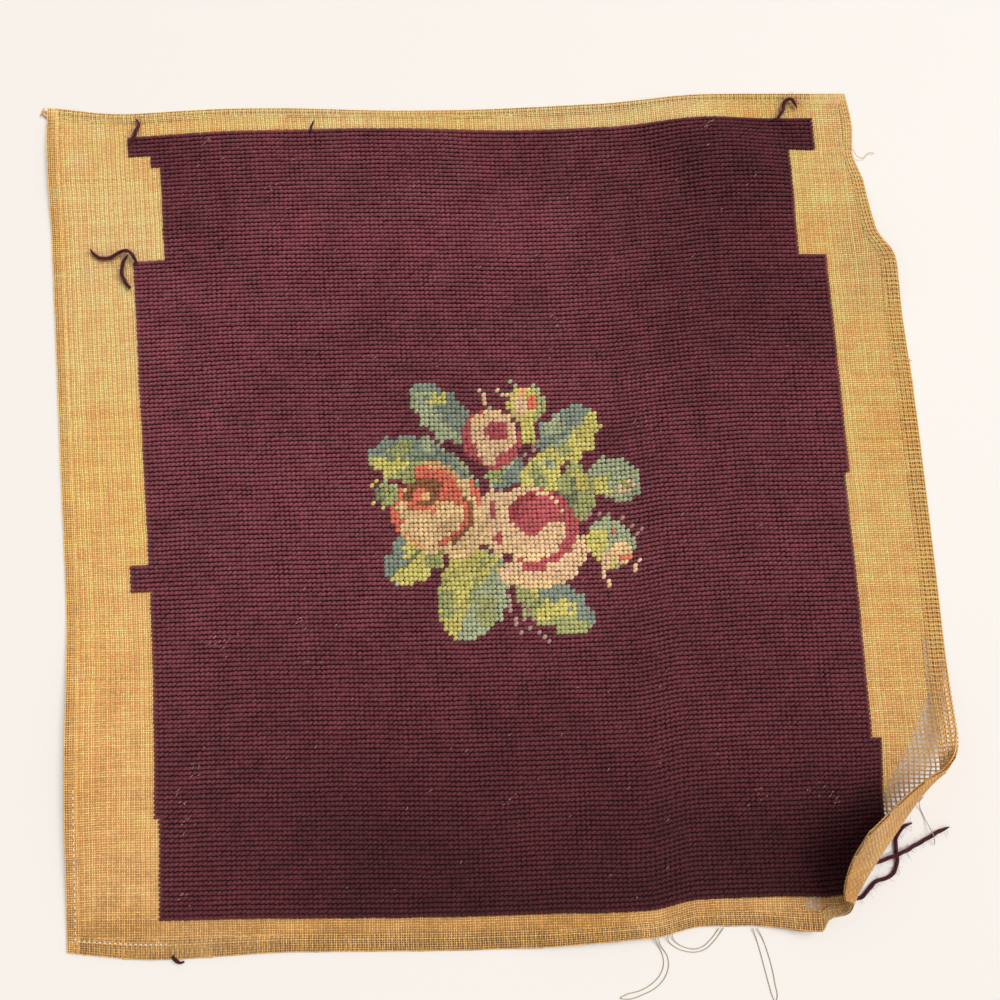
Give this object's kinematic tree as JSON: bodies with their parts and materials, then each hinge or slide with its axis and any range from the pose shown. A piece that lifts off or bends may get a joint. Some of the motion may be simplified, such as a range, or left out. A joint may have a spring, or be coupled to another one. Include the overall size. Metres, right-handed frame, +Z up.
{
  "type": "needlepoint canvas panel",
  "caption": "Hemmed open-weave canvas with a dense wool tent-stitch field and a rose posy in its middle, lying face up with one corner rolled over.",
  "frame": {"origin": "on the surface it lies on, under the middle of the canvas's box", "axes": "+Z up from the worked face, +Y towards the panel's top edge, +X towards its right edge"},
  "size_m": [0.51, 0.5061, 0.0486],
  "materials": {
    "canvas": "stiffened double-thread cotton canvas, ochre, matt",
    "wool": "matt tapestry wool, maroon ground with a many-coloured posy",
    "thread": "pale cotton sewing thread"
  },
  "bodies": {
    "root": {"canvas": "canvas", "wool_field": "wool", "yarn_end_left": "wool", "yarn_loop_left": "wool", "yarn_end_top_left": "wool", "yarn_end_top_right": "wool", "yarn_end_corner_hook": "wool", "yarn_end_corner_straight": "wool", "thread_loop_left": "thread", "thread_arc_outer": "thread", "thread_arc_inner": "thread", "thread_loop_right": "thread", "thread_end_corner": "thread"}
  },
  "joints": []
}
